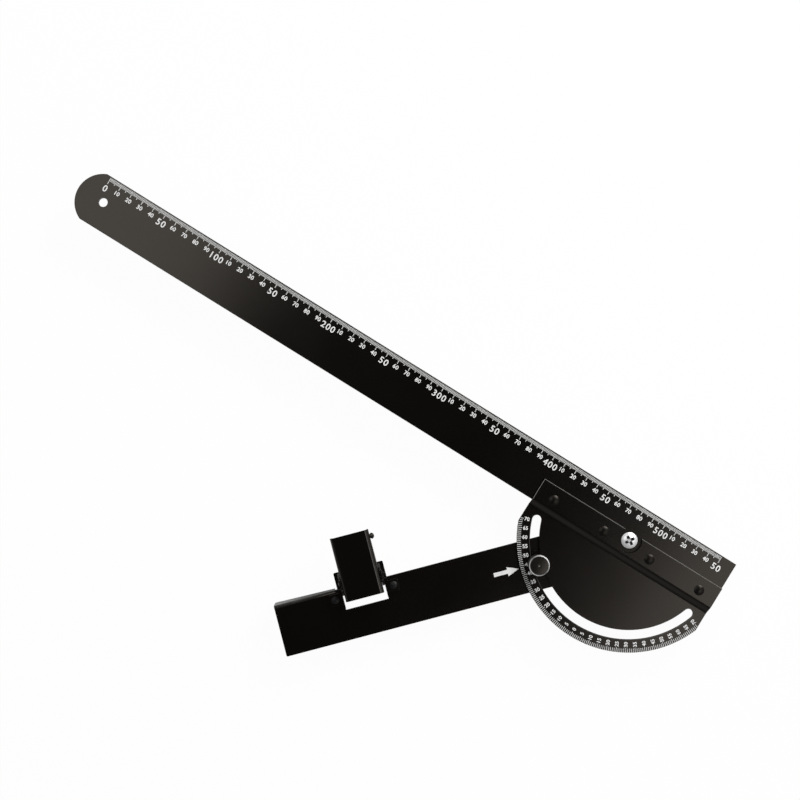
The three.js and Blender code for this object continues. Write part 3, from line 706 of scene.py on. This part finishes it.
def rimmed_finish():
    """The knob's black, with the bare bright chamfer round its crown, a painted highlight on the chamfer and
    a painted glint in the middle.
    """
    tints = colours()
    finish = new_finish("knob_black")
    low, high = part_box("lock_knob")
    inner = (high.x - low.x) / 2 - sizes().rim_width
    rim_foot = high.z - 1.55 * MM
    across, along = finish.off(STUD)
    out = (across * across + along * along) ** 0.5
    rim = out.step(inner - 0.08 * MM, inner) * finish.axis("Z").step(rim_foot - 0.05 * MM, rim_foot)
    # Painted highlight: the bare chamfer is painted brighter on two opposite sides, at this angle in
    # radians, and darker between them.
    facing = 1.25
    painted_shine = abs(across * math.cos(facing) + along * math.sin(facing)) / out
    bare = finish.mix(painted_shine, darker(tints.rim, 0.3), tints.rim)
    # A painted glint: the dimple in the crown's middle is painted a little paler.
    dimple = 0.1 * (1 - out.step(0.5 * MM, 0.8 * MM))
    crown = finish.mix(dimple, tints.anodised, tints.rim)
    fine = finish.noise(2400, 3)
    finish.set(
        Base_Color=finish.mix(rim, crown, bare),
        Metallic=0.5 * rim,
        Roughness=0.3 + 0.06 * fine,
        Specular_Tint=tints.sheen,
    )
    finish.bump(fine, GRAIN_RELIEF, 0.3)
    return finish


FINISHES = {}
SLOT_FINISHES = {
    "ruler_blade": "anodised",
    "protractor_plate": "plate",
    "plate_rivet": "heads",
    "fence_arm": "coated",
    "hold_down": "coated",
    "lock_knob": "rimmed",
    "plated_steel": "zinc",
    "spring_steel": "wire",
    "nylon": "nylon",
    "toe_block": "moulded",
    "toe_sole": "rubber",
}


def finish_named(name):
    """Each finish is made once and shared."""
    if name not in FINISHES:
        tints = colours()
        makers = {
            "anodised": lambda: black_finish("black_anodised", tints.anodised, grain=2600),
            "coated": lambda: black_finish("black_coated", tints.coated),
            "heads": head_finish,
            "plate": plate_finish,
            "lever": lever_finish,
            "screw": screw_finish,
            "rimmed": rimmed_finish,
            "dull": lambda: soft_finish("dull_black", tints.coated, rough=0.45, grain=1500),
            "zinc": lambda: metal_finish("bright_zinc", tints.zinc, rough=0.2, scratch=3200),
            "wire": lambda: metal_finish("spring_wire", tints.wire, rough=0.3, scratch=2600),
            "nylon": lambda: soft_finish("nylon", tints.nylon, rough=0.5, grain=1800),
            "moulded": lambda: soft_finish("moulded_black", tints.moulded, rough=0.5, grain=2400),
            "rubber": lambda: soft_finish("rubber", tints.rubber, rough=0.75, grain=1600),
            "print": lambda: soft_finish("white_print", tints.print_white, rough=0.55, grain=3000),
            "ticks": lambda: soft_finish("grey_print", tints.print_grey, rough=0.55, grain=3000),
        }
        FINISHES[name] = makers[name]()
    return FINISHES[name]


class SAWGUIDE_OT_sheets(bpy.types.Operator):
    """Eases the plate's step, squares the arm's notch, and rounds the plate and the bracket"""

    bl_idname = "saw_guide.sheets"
    bl_label = "Shape the sheets"

    def execute(self, context):
        size = sizes()
        stand_for("ruler_blade", soften(copy_of("ruler_blade")))
        plate = self.ease_step(copy_of("protractor_plate"))
        stand_for("protractor_plate", soften(plate, size.plate_edge))
        stand_for("lever_bracket", soften(copy_of("lever_bracket"), size.sheet_edge))
        stand_for("fence_arm", soften(self.square_notch(copy_of("fence_arm"))))
        return {"FINISHED"}

    def ease_step(self, plate):
        """Draws the plate's tight step out into a wide, soft one."""
        size = sizes()
        strip, disc = PLATE_HIGH.z, DISC_TOP
        start, reach, half = PIVOT.y - size.shoulder_start, size.shoulder_reach, size.shoulder_reach / 2
        bend = (half * half + (strip - disc) ** 2 / 4) / (strip - disc)

        def height(share):
            run = reach * min(share, 1 - share)
            sag = bend - math.sqrt(bend * bend - run * run)
            return strip - sag if share <= 0.5 else disc + sag

        def on_step(face):
            near = 0.01 * MM
            return face.normal.z > 0.5 and disc + near < face.calc_center_median().z < strip - near

        edit(plate)
        mesh = bmesh.from_edit_mesh(plate.data)
        rows = {}
        for vertex in dict.fromkeys(vertex for face in mesh.faces if on_step(face) for vertex in face.verts):
            rows.setdefault(round(vertex.co.y, 6), []).append(vertex.index)
        lines = sorted(rows, reverse=True)
        for index, line in enumerate(lines):
            share = index / (len(lines) - 1)
            mesh = bmesh.from_edit_mesh(plate.data)
            mesh.verts.ensure_lookup_table()
            for vertex in mesh.verts:
                vertex.select = vertex.index in rows[line]
            mesh.select_flush_mode()
            bmesh.update_edit_mesh(plate.data)
            old = mesh.verts[rows[line][0]].co
            move = (0, start - reach * share - old.y, height(share) - old.z)
            bpy.ops.transform.translate(value=move)
        end_edit()
        return plate

    def square_notch(self, arm):
        """Cuts the two inner corners of the lever's notch square."""
        corner = sizes().notch_corner
        hinge = ARM_AXES.inverted() @ HINGE
        beside, through = 18 * MM, 10 * MM
        spots = spots_of("fence_arm", ARM_AXES)
        near_hinge = [spot for spot in spots if abs(spot.x - hinge.x) < beside and spot.y < -MM]
        floor_line = max(spot.y for spot in near_hinge)
        ends = [spot.x for spot in near_hinge if spot.y < floor_line - corner / 2]
        low = (min(ends), floor_line - corner, -through)
        high = (max(ends), floor_line, through)
        return cut(arm, settle(block("notch", low, high), ARM_AXES))


class SAWGUIDE_OT_fasteners(bpy.types.Operator):
    """Smooths the nut, the washers, the stud, the pins and the toe, and rounds the edges of some"""

    bl_idname = "saw_guide.fasteners"
    bl_label = "Round the small pieces"

    def execute(self, context):
        edge = sizes().small_edge
        edges = {
            "pivot_bush": 0,
            "friction_washer": 0,
            "pivot_washer": edge,
            "pivot_nut": edge,
            "nut_ring": 0,
            "lock_stud": 0,
            "lock_washer": edge,
            "hinge_pin": 0,
            "hinge_clip": edge / 2,
            "toe_pin": 0,
            "toe_block": edge * 2,
            "toe_sole": edge,
        }
        for node, its_edge in edges.items():
            piece = soften(copy_of(node), its_edge, 40)
            if node == "toe_pin":
                widen(piece)
            stand_for(node, piece)
        return {"FINISHED"}


def widen(piece):
    """Widens a piece of the lever along the hinge, up to the ears but for a small play."""
    ears = min(abs(spot.x) for spot in spots_of("lever_bracket", PIN_AXES) if spot.z > 0)
    grow = Matrix.Diagonal(((ears - sizes().lever_play) / lever_half(), 1, 1, 1))
    for step in (PIN_AXES.inverted(), grow, PIN_AXES):
        settle(piece, step)
    return piece


class SAWGUIDE_OT_lever(bpy.types.Operator):
    """Widens the pressed hold-down lever and rounds its edges"""

    bl_idname = "saw_guide.lever"
    bl_label = "Shape the lever"

    def execute(self, context):
        lever = widen(copy_of("hold_down_lever"))
        stand_for("hold_down_lever", soften(lever, sizes().sheet_edge), "lever")
        return {"FINISHED"}


class SAWGUIDE_OT_spring(bpy.types.Operator):
    """Rounds the wire of the lever's spring"""

    bl_idname = "saw_guide.spring"
    bl_label = "Round the spring's wire"

    def execute(self, context):
        wire = copy_of("lever_spring")
        edit(wire)
        bpy.ops.mesh.tris_convert_to_quads()
        end_edit()
        apply_modifier(wire, "SUBSURF", levels=2, render_levels=2)
        smooth(wire, 60)
        coat(wire, "wire")
        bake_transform(wire)
        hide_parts("lever_spring")
        return {"FINISHED"}


class SAWGUIDE_OT_scale(bpy.types.Operator):
    """Prints the millimetre ticks and numbers along the guide edge"""

    bl_idname = "saw_guide.scale"
    bl_label = "Print the millimetre scale"

    def execute(self, context):
        size = sizes()
        last = round((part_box("ruler_blade")[1].x - size.scale_margin) / MM)
        foot, top = RULE_TOP - size.film / 2, RULE_TOP + size.film
        half = size.tick_width / 2
        spans = (
            (1, size.tick_from_edge, size.tick_short),
            (5, size.tick_short, size.tick_middle),
            (10, size.tick_middle, size.tick_long),
        )
        bars = []
        for every, near, far in spans:
            bar = block("scale_ticks", (-half, -far, foot), (half, -near, top))
            bars.append(repeat(bar, last // every + 1, (every * MM, 0, 0)))
        ride(join_pieces("scale_ticks", bars), "ruler", "ticks")

        numbers = []
        for value in range(0, last + 1, 10):
            big = value % 50 == 0
            text = str(value) if value % 100 == 0 else str(value % 100)
            tall = size.big_height if big else size.small_height
            top_line = size.big_top if big else size.small_top
            words = label(text, tall, bold=0.015, spread=1.16) if big else label(text, tall)
            middle = (value * MM + size.number_shift, -top_line - tall / 2, RULE_TOP + size.film / 2)
            numbers.append(settle(words, Matrix.Translation(middle)))
        ride(join_pieces("scale_numbers", numbers), "ruler", "print")
        return {"FINISHED"}


class SAWGUIDE_OT_degrees(bpy.types.Operator):
    """Prints the degree ticks and numbers round the protractor plate"""

    bl_idname = "saw_guide.degrees"
    bl_label = "Print the degree scale"

    def execute(self, context):
        size = sizes()
        foot, top = DISC_TOP - size.film / 2, DISC_TOP + size.film
        half = size.degree_tick_width / 2
        at_pivot = Matrix.Translation((PIVOT.x, PIVOT.y, 0))
        bars = []
        for every, inner, outer in (
            (1, size.degree_tick_inner, size.degree_tick_outer),
            (5, size.degree_tick_five, size.degree_tick_inner),
        ):
            bar = block("degree_ticks", (-half, -outer, foot), (half, -inner, top))
            edit(settle(bar, Matrix.Rotation(math.radians(-DEGREES), 4, "Z")))
            bpy.ops.mesh.spin(
                steps=2 * DEGREES // every,
                dupli=True,
                angle=math.radians(-2 * DEGREES),
                use_auto_merge=False,
                center=(0, 0, 0),
                axis=(0, 0, 1),
            )
            end_edit()
            bars.append(settle(bar, at_pivot))
        ticks = join_pieces("degree_ticks", bars)
        # The outermost ticks stop where the plate's straight ends begin to round.
        edit(ticks)
        for side, x in ((-1, PLATE_LOW.x + size.plate_edge), (1, PLATE_HIGH.x - size.plate_edge)):
            bpy.ops.mesh.select_all(action="SELECT")
            bpy.ops.mesh.bisect(plane_co=(x, 0, 0), plane_no=(side, 0, 0), use_fill=True, clear_outer=True)
        end_edit()
        ride(ticks, "ruler", "ticks")

        numbers = []
        for angle in range(-DEGREES, DEGREES + 1, 5):
            words = label(str(abs(angle)), size.degree_label_height)
            # A number reads from the rim in towards the pivot.
            inward = Matrix.Rotation(math.radians(angle + 90), 4, "Z")
            out = Matrix.Translation((-size.degree_label_radius, 0, DISC_TOP + size.film / 2))
            numbers.append(settle(words, at_pivot @ inward @ out))
        ride(join_pieces("degree_numbers", numbers), "ruler", "print")
        return {"FINISHED"}


class SAWGUIDE_OT_arrow(bpy.types.Operator):
    """Prints the arrow that points from the arm to the degree scale"""

    bl_idname = "saw_guide.arrow"
    bl_label = "Print the arrow"

    def execute(self, context):
        size = sizes()
        neck = size.arrow_tip + size.arrow_head
        end = size.arrow_tip + size.arrow_length
        arrow = block(
            "arm_arrow",
            (neck, -size.arrow_shaft / 2, ARM_TOP - size.film / 2),
            (end, size.arrow_shaft / 2, ARM_TOP + size.film),
        )
        edit(arrow)
        select_faces(arrow, lambda face: face.normal.x < -FACING)
        wide = size.arrow_width / size.arrow_shaft
        tip_share = 0.02
        bpy.ops.mesh.extrude_region_move()
        bpy.ops.transform.resize(value=(1, wide, 1), center_override=(neck, 0, ARM_TOP))
        bpy.ops.mesh.extrude_region_move(TRANSFORM_OT_translate={"value": (-size.arrow_head, 0, 0)})
        bpy.ops.transform.resize(value=(1, tip_share, 1), center_override=(size.arrow_tip, 0, ARM_TOP))
        close_shell()
        level = Matrix.Translation((0, 0, -PIVOT.z))
        ride(settle(arrow, level @ ARM_AXES), "arm", "print")
        return {"FINISHED"}


class SAWGUIDE_OT_screw(bpy.types.Operator):
    """Turns the pivot screw with its domed head and cross recess"""

    bl_idname = "saw_guide.screw"
    bl_label = "Turn the pivot screw"

    def execute(self, context):
        size = sizes()
        low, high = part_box("pivot_screw")
        radius, shank = (high.x - low.x) / 2, size.screw_shank
        side = RULE_TOP + size.screw_side
        point, edge = 0.4 * MM, 0.2 * MM
        profile = [
            (shank - point, low.z),
            (shank, low.z + point),
            (shank, RULE_TOP),
            (radius - edge / 2, RULE_TOP),
            (radius, RULE_TOP + edge),
            (radius, side - edge),
        ]
        profile += domed(radius - edge, side, high.z - side)
        screw = turned("pivot_screw_dressed", profile, size.turned_steps)
        reach, wide, deep = size.recess_reach, size.recess_width / 2, high.z - size.recess_depth
        # The recess's floor is shorter and narrower than its mouth.
        taper = (0.35, 0.6, 1)
        for turn in (0, math.radians(90)):
            tool = block("recess", (-reach, -wide, deep), (reach, wide, high.z + MM))
            edit(tool)
            select_faces(tool, lambda face: face.normal.z < -FACING)
            bpy.ops.transform.resize(value=taper, center_override=(0, 0, deep))
            end_edit()
            cut(screw, settle(tool, Matrix.Rotation(size.recess_turn + turn, 4, "Z")))
        smooth(screw)
        stand_for("pivot_screw", settle(screw, Matrix.Translation((PIVOT.x, PIVOT.y, 0))), "screw")
        return {"FINISHED"}


class SAWGUIDE_OT_rivets(bpy.types.Operator):
    """Turns the smooth domed rivets of the plate and the bracket"""

    bl_idname = "saw_guide.rivets"
    bl_label = "Turn the rivets"

    def execute(self, context):
        size = sizes()
        head, foot, shank = size.rivet_head, size.rivet_foot, size.rivet_shank
        strip_top = PLATE_HIGH.z
        lip = 0.15 * MM
        for number in range(1, 5):
            node = f"plate_rivet_{number}"
            low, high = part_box(node)
            profile = [(foot, low.z), (shank, low.z + MM), (shank, strip_top), (head - lip / 3, strip_top)]
            profile += domed(head, strip_top + lip, high.z - strip_top - lip)
            self.place(node, profile)

        head, shank = size.wing_rivet_head, size.wing_rivet_shank
        wing_top, arm_under = ARM_TOP + size.bracket_sheet, ARM_TOP - size.arm_sheet
        for number in (1, 2):
            node = f"bracket_rivet_{number}"
            low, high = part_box(node)
            under = [(radius, arm_under - height) for radius, height in domed(head, 0, arm_under - low.z)]
            profile = under[::-1] + [(shank, arm_under), (shank, wing_top)]
            profile += domed(head, wing_top, high.z - wing_top)
            self.place(node, profile, "dull")
        return {"FINISHED"}

    def place(self, node, profile, finish=None):
        low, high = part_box(node)
        middle = (low + high) / 2
        rivet = turned(node + "_dressed", profile, sizes().rivet_steps)
        stand_for(node, settle(rivet, Matrix.Translation((middle.x, middle.y, 0))), finish)


class SAWGUIDE_OT_knob(bpy.types.Operator):
    """Turns and knurls the lock knob"""

    bl_idname = "saw_guide.knob"
    bl_label = "Turn the lock knob"

    def execute(self, context):
        size = sizes()
        low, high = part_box("lock_knob")
        radius, bore, chamfer = size.knob_radius, size.knob_bore, size.rim_width
        foot, crown = low.z, high.z - size.crown_rise
        waist = radius - size.waist_depth
        waist_foot, grip_foot = foot + 1.8 * MM, foot + 3 * MM
        bevel, flank = 0.6 * MM, 0.3 * MM
        profile = [
            (bore, foot + size.bore_depth),
            (bore, foot),
            (radius - bevel, foot),
            (radius, foot + bevel),
            (radius, waist_foot),
            (waist, waist_foot + flank),
            (waist, grip_foot - flank),
            (radius, grip_foot),
            (radius, crown - chamfer),
        ]
        profile += domed(radius - chamfer, crown, high.z - crown, tip=0.14)
        # A small dimple in the crown's middle
        mouth = profile[-1][0]
        profile += [(mouth * 0.9, high.z - 0.03 * MM), (mouth * 0.3, high.z - 0.4 * MM)]
        knob = turned("lock_knob_dressed", profile, size.knurl_pits)
        middle = (grip_foot + crown - chamfer) / 2
        near_middle = (crown - foot) / 4

        def on_grip(face):
            centre = face.calc_center_median()
            return abs(centre.z - middle) < near_middle and abs(face.normal.z) < 1 - FACING

        edit(knob)
        select_faces(knob, on_grip)
        bpy.ops.mesh.inset(thickness=size.knurl_ridge, depth=-size.knurl_depth, use_individual=True)
        end_edit()
        stand_for("lock_knob", settle(knob, Matrix.Translation((STUD.x, STUD.y, 0))))
        return {"FINISHED"}


class SAWGUIDE_OT_stage(bpy.types.Operator):
    """Sets the pale floor, the soft lamps and the camera over the middle of the picture"""

    bl_idname = "saw_guide.stage"
    bl_label = "Set the stage"

    def execute(self, context):
        floor_size, middle, gap = 14, (0.28, -0.03), 0.2 * MM
        deselect()
        bpy.ops.mesh.primitive_plane_add(size=floor_size, location=(*middle, CAD_BOX[0].z - gap))
        floor = context.object
        floor.name = "floor"
        finish = new_finish("studio_floor")
        finish.set(Base_Color=colours().floor, Roughness=0.9, Specular_IOR_Level=0.1)
        # The camera sees the floor as nearly pure white, with a share of the shadows on it.
        glow = finish.node("ShaderNodeEmission", {}, {"Color": (1, 1, 1, 1), "Strength": 1.0})
        seen = finish.node("ShaderNodeLightPath", output="Is Camera Ray")
        glow_share = 0.965
        lit = Signal(finish, finish.shader.outputs[0])
        mixed = finish.node("ShaderNodeMixShader", {}, {0: seen * glow_share, 1: lit, 2: glow})
        finish.tree.links.new(mixed.socket, finish.tree.nodes["Material Output"].inputs["Surface"])
        floor.data.materials.append(finish.material)

        # The sky is white to the camera, and otherwise dark overhead and light at the horizon.
        context.scene.world = bpy.data.worlds.new("studio")
        sky = Finish(context.scene.world, "Background")
        seen = sky.node("ShaderNodeLightPath", output="Is Camera Ray")
        horizon, overhead = 0.36, 0.03
        light = horizon - (horizon - overhead) * sky.axis("Z").step(0.5, 0.88)
        sky.set(Color=(1, 1, 1), Strength=seen + (1 - seen) * light)

        # The camera leans a little, so the picture's left end comes out slightly larger.
        stand = Vector((0.2609, -0.0507, 1.1))
        aim = Vector((0.2765, -0.0287, 0))
        ahead = Vector((-0.52690, 0.84992, 0))
        back = (stand - aim).normalized()
        right = ahead.cross(back).normalized()
        turn = Matrix((right, back.cross(right), back)).transposed()
        bpy.ops.object.camera_add(location=stand, rotation=turn.to_euler())
        camera = context.object
        camera.data.sensor_width = 36
        camera.data.lens = 64.64
        camera.data.clip_end = 50
        context.scene.camera = camera

        # Two wide lamps face down at the rule's ends, and the key lamp leans in from its upper right.
        level = Vector((right.x, right.y, 0)).normalized()
        lamps = (
            ("left_lamp", Vector((-0.46, 0, stand.z)), 0.86, 1.0, 4.2, False),
            ("right_lamp", Vector((1.2, 0, stand.z)), 0.86, 1.0, 4.2, False),
            ("key_lamp", aim + level * 1.1 + ahead * 1.2 + UP, 1.2, 0.6, 33.0, True),
        )
        for name, spot, wide, deep, power, leaning in lamps:
            bpy.ops.object.light_add(type="AREA", location=spot)
            lamp = context.object
            lamp.name = name
            lamp.data.shape = "RECTANGLE"
            lamp.data.size = wide
            lamp.data.size_y = deep
            lamp.data.energy = power
            lamp.visible_camera = False
            if leaning:
                lamp.rotation_euler = (aim - spot).to_track_quat("-Z", "Y").to_euler()
        context.scene.view_settings.view_transform = "Standard"
        return {"FINISHED"}


OPERATORS = (
    SAWGUIDE_OT_sheets,
    SAWGUIDE_OT_fasteners,
    SAWGUIDE_OT_lever,
    SAWGUIDE_OT_spring,
    SAWGUIDE_OT_scale,
    SAWGUIDE_OT_degrees,
    SAWGUIDE_OT_arrow,
    SAWGUIDE_OT_screw,
    SAWGUIDE_OT_rivets,
    SAWGUIDE_OT_knob,
    SAWGUIDE_OT_stage,
)


class SAWGUIDE_PT_panel(bpy.types.Panel):
    bl_idname = "SAWGUIDE_PT_panel"
    bl_label = "Saw guide ruler"
    bl_space_type = "VIEW_3D"
    bl_region_type = "UI"
    bl_category = "Saw guide"

    def draw(self, context):
        for operator in OPERATORS:
            self.layout.operator(operator.bl_idname)


CLASSES = (SawGuideSizes, SawGuideColours, *OPERATORS, SAWGUIDE_PT_panel)


def register():
    for cls in CLASSES:
        bpy.utils.register_class(cls)
    bpy.types.Scene.saw_guide_sizes = PointerProperty(type=SawGuideSizes)
    bpy.types.Scene.saw_guide_colours = PointerProperty(type=SawGuideColours)


def unregister():
    del bpy.types.Scene.saw_guide_colours
    del bpy.types.Scene.saw_guide_sizes
    for cls in reversed(CLASSES):
        bpy.utils.unregister_class(cls)


def main():
    register()
    for operator in OPERATORS:
        group, name = operator.bl_idname.split(".")
        getattr(getattr(bpy.ops, group), name)()


if __name__ == "__main__":
    main()
